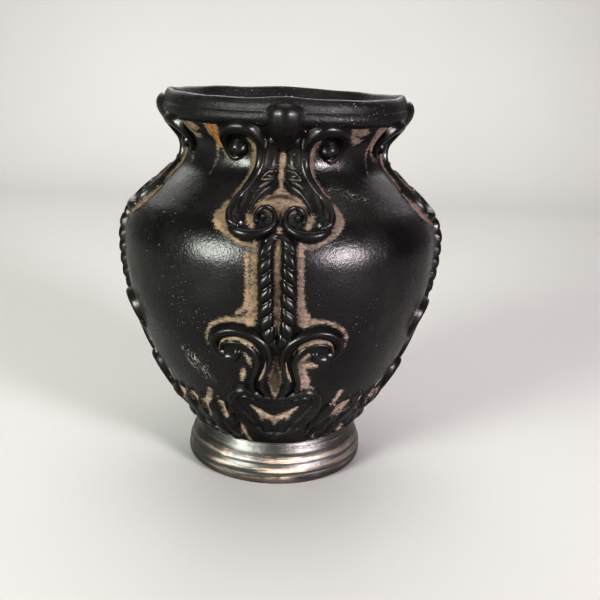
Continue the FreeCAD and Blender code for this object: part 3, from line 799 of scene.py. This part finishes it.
def rubbed_foot(name):
    """Black coat rubbed to a graphite sheen, with pinkish streaks along the turning, and painted shade on
    its left and right sides.
    """
    nodes = Nodes(name)
    noise, streaks, ramp, vary = nodes.noise, nodes.streaks, nodes.ramp, nodes.vary
    times, cover = nodes.times, nodes.cover
    fine = streaks(70, 2400, 6, 0.75)
    cloud = noise(42, 5, 0.65)
    # how far the coat is rubbed: on the ridges, and more at the front and the back; it is rubbed less at
    # the left and right sides, which paints shade there
    wear_and_side_shade = ramp(vary(nodes.attribute("wear_and_side_shade"), noise(26, 4, 0.6), 0.8), 0.22, 0.8)
    wear_and_side_shade = nodes.blend(wear_and_side_shade, 0.15, 1.0)
    rubbed = nodes.math("MULTIPLY_ADD", nodes.attribute("lift"), 0.30, streaks(30, 700, 6, 0.7))
    rubbed = vary(vary(rubbed, cloud, 0.7), fine, 0.35)
    shows = times(ramp(rubbed, 0.54, 0.76), wear_and_side_shade)
    metal = times(ramp(vary(cloud, fine, 0.7), 0.34, 0.66), wear_and_side_shade)
    clay = nodes.mix(ramp(cloud, 0.35, 0.65), FOOT_CLAY, FOOT_PALE_CLAY)
    colour = cover(nodes.mix(metal, FOOT_BLACK, GRAPHITE), clay, shows, 0.85)
    lines = ramp(streaks(16, 1100, 5, 0.7), 0.53, 0.63)
    colour = cover(colour, TURNED_LINE, lines, 0.85)
    dark = ramp(vary(nodes.attribute("height"), noise(160, 5, 0.7), 0.7), 1.55, 0.95)
    colour = cover(colour, FOOT_EDGE, dark, 0.88)
    rough = nodes.blend(shows, nodes.blend(metal, 0.38, 0.25), 0.46)
    normal = nodes.bump(fine, 0.4, 0.0002)
    normal = nodes.bump(noise(500, 5, 0.7), 0.45, 0.00028, normal)
    normal = nodes.bump(noise(90, 3, 0.5), 0.35, 0.001, normal)
    metallic = times(times(metal, 0.5), nodes.less(1.0, times(shows, 0.8)))
    metallic = times(metallic, nodes.less(1.0, dark))
    return nodes.finish(Base_Color=colour, Roughness=rough, Normal=normal, Metallic=metallic,
                        Specular_IOR_Level=nodes.blend(dark, 0.5, 0.2))


wall_material = coated_clay("satin_black_wall", dust=1.0, wear=0.0)
relief_material = coated_clay("satin_black_relief", dust=0.8, wear=1.0, dull=0.04, texture=0.55)
collar_material = coated_clay("satin_black_collar", dust=2.2, wear=1.0, dull=0.13, texture=1.8)
foot_material = rubbed_foot("rubbed_foot")


# ---- turned pieces
SHARP = 38  # degrees; a sharper edge than this isn't shaded smooth
CREST_LIFT, CREST_REACH = 3.4, 1.1  # the crest is rubbed like relief of this height
MARKS_REACH = 50  # degrees from a panel's middle that its marks on the wall can reach
# the foot is painted darker, as shade, on its sides away from the middle of its worn places
WORN_AND_LIT_AT = -8  # degrees round the foot to the middle of its worn places


def turned_piece(name, outline, columns, material, make_fields, *more):
    """A closed surface of revolution. outline is a closed loop of (radius, height); a
    point at radius 0 starts or ends it at the axis. make_fields gives its attributes from
    its rings, its columns and anything more."""
    on_axis = outline[0, 0] == 0
    turn = np.radians(columns)
    rings = outline[1:-1] if on_axis else outline
    rows, count = len(rings), len(turn)
    points = np.stack([
        np.outer(rings[:, 0], np.sin(turn)), -np.outer(rings[:, 0], np.cos(turn)),
        np.repeat(rings[:, 1][:, None], count, 1)], -1).reshape(-1, 3)
    number = np.arange(rows * count).reshape(rows, count)
    after = np.roll(number, -1, 1)
    faces = []
    for row in range(rows - 1 if on_axis else rows):
        above = (row + 1) % rows
        faces += np.stack([number[row], after[row], after[above], number[above]], 1).tolist()
    fields = {key: values.ravel() for key, values in make_fields(rings, columns, *more).items()}
    if on_axis:
        start, end = len(points), len(points) + 1
        points = np.concatenate([points, [[0, 0, outline[0, 1]], [0, 0, outline[-1, 1]]]])
        faces += [(start, int(b), int(a)) for a, b in zip(number[0], after[0])]
        faces += [(end, int(a), int(b)) for a, b in zip(number[-1], after[-1])]
        fields = {key: np.append(values, values[[-1, -1]]) for key, values in fields.items()}
    return make_piece(name, points, faces, material, fields, sharp=SHARP)


def panel_columns():
    """Angles all round, closer together over the four panels than between them."""
    quarter = np.concatenate([np.arange(-28, 28.01, 0.8), np.linspace(28, 62, 21)[1:-1]])
    return np.concatenate([quarter + 90 * i for i in range(4)])


def wall_fields(rings, columns, outer_rows):
    """Bare clay, stains and scuffs over the outer wall: the first rows of a turned piece.
    Stains and scuffs are at the front and the back only."""
    shape = (len(rings), len(columns))
    fields = {key: np.full(shape, NOWHERE) for key in ("bare", "stain", "scuff", "hollow_shade")}
    crest = CREST_LIFT * np.exp(-(((rings[:, 1] - CREST) / CREST_REACH) ** 2))
    fields["lift"] = np.repeat(crest[:, None], len(columns), 1)

    def mark(key, near, angles, strokes):
        outer = fields[key][:outer_rows]
        found = paint(Field(angles[near], rings[:outer_rows, 1]), strokes)
        outer[:, near] = np.maximum(outer[:, near], found)

    for turn in TURNS.values():
        from_middle = (columns - turn + 180) % 360 - 180
        beside = np.abs(from_middle) <= MARKS_REACH
        mark("bare", beside, from_middle, PANEL_BARE)
        # painted shade along the hollows of each panel
        mark("hollow_shade", beside, from_middle, HOLLOW_SHADE_LINES)
        if turn % 180 == 0:
            mark("stain", beside, from_middle, STAINS)
            mark("scuff", beside, from_middle, SCUFFS)
        onwards = (columns - turn) % 360
        mark("bare", onwards <= 90, onwards, GARLAND_BARE)
    return fields


def make_body():
    """The hollow wall with its floor, from the foot's top up to the collar."""
    outer = resample(OUTER, WALL_STEP)
    neck, slope, shoulder = at(40.03, 154.59), at(45.95, 141.44), at(61.22, 127.91)
    widest = (BELLY - WALL, 112.19 * SCALE)
    flank, low, well = at(64.82, 85.76), at(37.86, 29), at(33.6, 25.5)
    floor = 25.5 * SCALE
    inner = [
        arc((41.5 * SCALE, SEAM), neck, 17.16, 1, 8),
        arc(neck, slope, 17.57, 1, 12)[1:],
        np.linspace(slope, shoulder, 8)[1:],
        arc(shoulder, widest, 21, 1, 10)[1:],
        arc(widest, flank, 102.1, 1, 8)[1:],
        arc(flank, low, 173.8, 1, 14)[1:],
        arc(low, well, 5, 1, 6)[1:],
        np.linspace(well, (2, floor), 8)[1:],
        [(0, floor)],
    ]
    under = [(radius, FOOT_TOP) for radius in (0, 12, 26, WAIST[0] - 0.4)]
    outer_rows = len(under) - 1 + len(outer)
    return turned_piece("pot_body", np.concatenate([under, outer] + inner), panel_columns(),
                        wall_material, wall_fields, outer_rows)


def make_collar():
    """The collar: a slanted band over a rolled bead, up to a rounded crest."""
    edge = np.array([FLARE, at(54.0, 168.5), at(55.2, 169.4), at(56.1, 170.9),
                     at(56.2, 172.4), at(55.75, 173.8), at(55.25, 174.8), at(55.2, 175.9),
                     at(54.95, 177.4), at(54.3, 178.9)])
    flare_rows = 12
    outline = np.concatenate([
        np.linspace(THROAT, FLARE, flare_rows)[:-1],
        smooth_profile(edge),
        arc(at(54.1, 179.1), at(50.9, 179.1), 1.75, 1, 10),
        np.linspace(at(50.4, 178.0), at(46.4, 170.5), 8),
        np.linspace(at(46.4, 170.5), (41.5 * SCALE, SEAM), 8)[1:],
    ])
    return turned_piece("pot_collar", outline, np.arange(360), collar_material,
                        wall_fields, flare_rows)


# The foot's outline, as (height, radius) for a foot 19 high and 43.7 in radius.
FOOT_STEPS = [
    (0, 42.1), (0.5, 42.95), (1.6, 43.6), (3, 43.8), (4.3, 43.7), (5, 43.5), (5.7, 43.5), (7, 43.45),
    (8.4, 43.05), (9.3, 42.65), (10, 42.4), (10.7, 42.3), (12, 41.8), (13.2, 41), (14.1, 40.3),
    (14.9, 39.8), (15.7, 39.4), (16.8, 38.8), (18, 38.1), (19, 37.8),
]


def foot_fields(rings, columns):
    """How proud each ring of the foot stands of its neighbours, its height from the floor
    in steps of 3 mm, and how worn it is round the foot: most at the front and the back.
    The lesser wear at the left and right sides is painted shade."""
    radius, height = rings.T
    wide = np.convolve(np.pad(radius, 6, mode="edge"), np.ones(13) / 13, "valid")
    proud = np.clip((radius - wide) * 6.0, -1, 1)
    proud[height > FOOT_TOP - 2.2] = -0.4
    across = (columns - WORN_AND_LIT_AT + 90) % 180 - 90
    # wear, and painted shade: the left and right sides get the least, so they come out darker
    wear_and_side_shade = 0.22 + 0.78 * np.exp(-((across / 30.0) ** 2))
    return {"lift": np.repeat(proud[:, None], len(columns), 1),
            "height": np.repeat((height / 3.0)[:, None], len(columns), 1),
            "wear_and_side_shade": np.tile(wear_and_side_shade, (len(rings), 1))}


def make_foot():
    """The flared, stepped foot ring, open underneath."""
    steps = [(radius * (FOOT_RADIUS / 43.7), height * FOOT_TOP / 19.0)
             for height, radius in FOOT_STEPS]
    outer = resample(smooth_profile(np.array(steps)), FOOT_STEP)
    inner = [(34.5 * SCALE, FOOT_TOP), (31 * SCALE, FOOT_TOP), (30.6 * SCALE, FOOT_TOP - 2),
             (31 * SCALE, 2.0), (31.6 * SCALE, 0.6), (32.4 * SCALE, 0.0), (37 * SCALE, 0.0)]
    return turned_piece("pot_foot", np.concatenate([outer, inner]), np.arange(0, 360, 1.25),
                        foot_material, foot_fields)


def smooth_profile(points):
    """A finely divided smooth line through profile points."""
    return catmull_rom(points, lambda start, end: 8)


# ---- build the pieces
TURNS = {"front": 0, "right": 90, "back": 180, "left": 270}


def settle(piece, node):
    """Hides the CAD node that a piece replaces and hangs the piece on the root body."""
    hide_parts(node)
    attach(piece, "root")


def raise_relief(field, makers):
    """The heights of each piece over a field, and of all of them together."""
    own = {}
    whole = np.full(field.shape, DEEP)
    for name, (make, side) in makers.items():
        clay = Clay(field, side)
        make(clay)
        own[name] = clay.lift
        whole = smooth_max(whole, clay.lift, SEAM_SOFT)
    return own, whole


DIP, DIP_LIMIT = 0.6, 4  # how far a piece dips, for how much higher a neighbour stands


def lay_pieces(field, own, whole, bare):
    """Makes each piece on all four panels. It dips under a neighbour that stands higher."""
    for name, lift in own.items():
        others = np.full(field.shape, DEEP)
        for other, values in own.items():
            if other != name:
                others = np.maximum(others, values)
        top = whole - DIP * np.clip(others - lift, 0, DIP_LIMIT)
        for panel, turn in TURNS.items():
            node = panel + "_" + name
            piece = relief_piece("clay_" + node, field, lift, top, bare, turn)
            settle(piece, node)


settle(make_body(), "body")
settle(make_collar(), "collar")
settle(make_foot(), "foot")

MAKERS = {"strap_head": (strap_head, 0)}
for make in (volute, half_leaf, bracket, rope, scroll):
    for side_name, side in (("left", -1), ("right", 1)):
        MAKERS[side_name + "_" + make.__name__] = (make, side)
MAKERS["palmette"] = (palmette, 0)

# The fields' cells are CELL high, and reach a little past the clay on each side.
CELL = 0.42
PANEL_HALF, PANEL_LOW = 32, 23
GARLAND_START, GARLAND_END, GARLAND_HIGH = 19, 71, 52
COATED = 0.75  # relief higher than this has its coat, whatever the ground has
RELIEF_EDGE, LINE_EDGE = 1.6, 3  # how sharply bare clay ends at relief, and as a line

heights = np.interp(np.arange(0, BASE_ALONG[-1], CELL), BASE_ALONG, BASE[:, 1])
angles = np.arange(-PANEL_HALF, PANEL_HALF + 0.01, 0.4)
panel_field = Field(angles, heights[heights > PANEL_LOW])
own, whole = raise_relief(panel_field, MAKERS)
bare = np.minimum(paint(panel_field, PANEL_BARE), (COATED - whole) * RELIEF_EDGE)
bare = np.maximum(bare, paint(panel_field, LINES_ON_RELIEF) * LINE_EDGE)
lay_pieces(panel_field, own, whole, bare)

angles = np.arange(GARLAND_START, GARLAND_END + 0.01, 0.45)
garland_field = Field(angles, heights[heights < GARLAND_HIGH])
own, whole = raise_relief(garland_field, {"garland": (garland, 0)})
lay_pieces(garland_field, own, whole, paint(garland_field, GARLAND_BARE))


# ---- floor, light, camera
def make_floor():
    """A pale floor that sweeps up into a backdrop far behind the pot, in metres."""
    front, back, sweep, top, half_width = -1.6, 0.75, 0.35, 2.4, 2.6
    rows = [(front, 0.0), (back, 0.0)]
    for i in range(1, 13):
        angle = math.pi / 2 * i / 12
        rows.append((back + sweep * math.sin(angle), sweep * (1 - math.cos(angle))))
    rows.append((back + sweep, top))
    points = [(x, y, z) for y, z in rows for x in (-half_width, half_width)]
    faces = [(2 * i, 2 * i + 1, 2 * i + 3, 2 * i + 2) for i in range(len(rows) - 1)]
    nodes = Nodes("pale_floor")
    colour = nodes.mix(nodes.noise(3, 3, 0.5), (0.215, 0.213, 0.208), (0.24, 0.238, 0.232))
    floor = smooth_object("floor", points, faces, nodes.finish(Base_Color=colour, Roughness=0.7))


def aim(thing, place, ahead, roll=0.0):
    """Puts a lamp or the camera at a place, looking ahead and turned about that line."""
    bpy.context.scene.collection.objects.link(thing)
    right = np.cross(ahead, (0, 0, 1))
    right /= np.linalg.norm(right)
    up = np.cross(right, ahead)
    right, up = (right * math.cos(roll) + up * math.sin(roll),
                 up * math.cos(roll) - right * math.sin(roll))
    rows = [(right[i], up[i], -ahead[i], place[i]) for i in range(3)]
    thing.matrix_world = Matrix(rows + [(0, 0, 0, 1)])


POT, BACKDROP = (0, 0, 0.1), (0, 0.9, 0.3)
LIGHTS = [  # name, place, target, size, power and colour
    ("left_window", (-0.8, -0.8, 0.4), POT, (0.38, 0.36), 33, (0.96, 1.0, 0.93)),
    ("right_window", (0.8, -0.82, 0.38), POT, (0.26, 0.3), 32, (1.0, 0.92, 0.97)),
    ("back_fill", (0, 0.9, 0.8), POT, (0.9, 0.4), 5, (1.0, 0.99, 0.97)),
    ("back_left", (-0.5, 0.86, 0.72), POT, (0.6, 0.5), 2.6, (1.0, 0.99, 0.97)),
    ("back_right", (0.5, 0.86, 0.72), POT, (0.6, 0.5), 2.0, (1.0, 0.97, 0.98)),
    ("ceiling", (0, 0.25, 1.5), BACKDROP, (1.2, 1.0), 15, (1.0, 0.98, 0.95)),
]
ROOM_COLOUR, ROOM_LIGHT = (0.92, 0.92, 0.90, 1), 0.09


def make_lights():
    """Two windows in front, weak light from behind and above, and a dim even room."""
    for name, place, target, size, power, colour in LIGHTS:
        light = bpy.data.lights.new(name, "AREA")
        light.shape, (light.size, light.size_y) = "RECTANGLE", size
        light.energy, light.color = power, colour
        ahead = np.array(target, float) - np.array(place, float)
        aim(bpy.data.objects.new(name, light), place, ahead / np.linalg.norm(ahead))
    world = bpy.data.worlds.new("room")
    world.use_nodes = True
    background = world.node_tree.nodes["Background"]
    background.inputs[0].default_value = ROOM_COLOUR
    background.inputs[1].default_value = ROOM_LIGHT
    bpy.context.scene.world = world


def make_camera():
    """A hand-held view from a little above the lip, slightly turned and rolled."""
    place = (0.0, -0.4068, 0.1993)
    pitch, yaw, roll = 0.2865, 0.0258, 0.0405
    ahead = np.array([math.sin(yaw) * math.cos(pitch), math.cos(yaw) * math.cos(pitch),
                      -math.sin(pitch)])
    data = bpy.data.cameras.new("camera")
    data.sensor_width, data.lens = 36.0, 51.0
    camera = bpy.data.objects.new("camera", data)
    aim(camera, place, ahead, roll)
    bpy.context.scene.camera = camera


make_floor()
make_lights()
make_camera()
scene = bpy.context.scene
scene.view_settings.view_transform = "Standard"
scene.view_settings.look = "High Contrast"
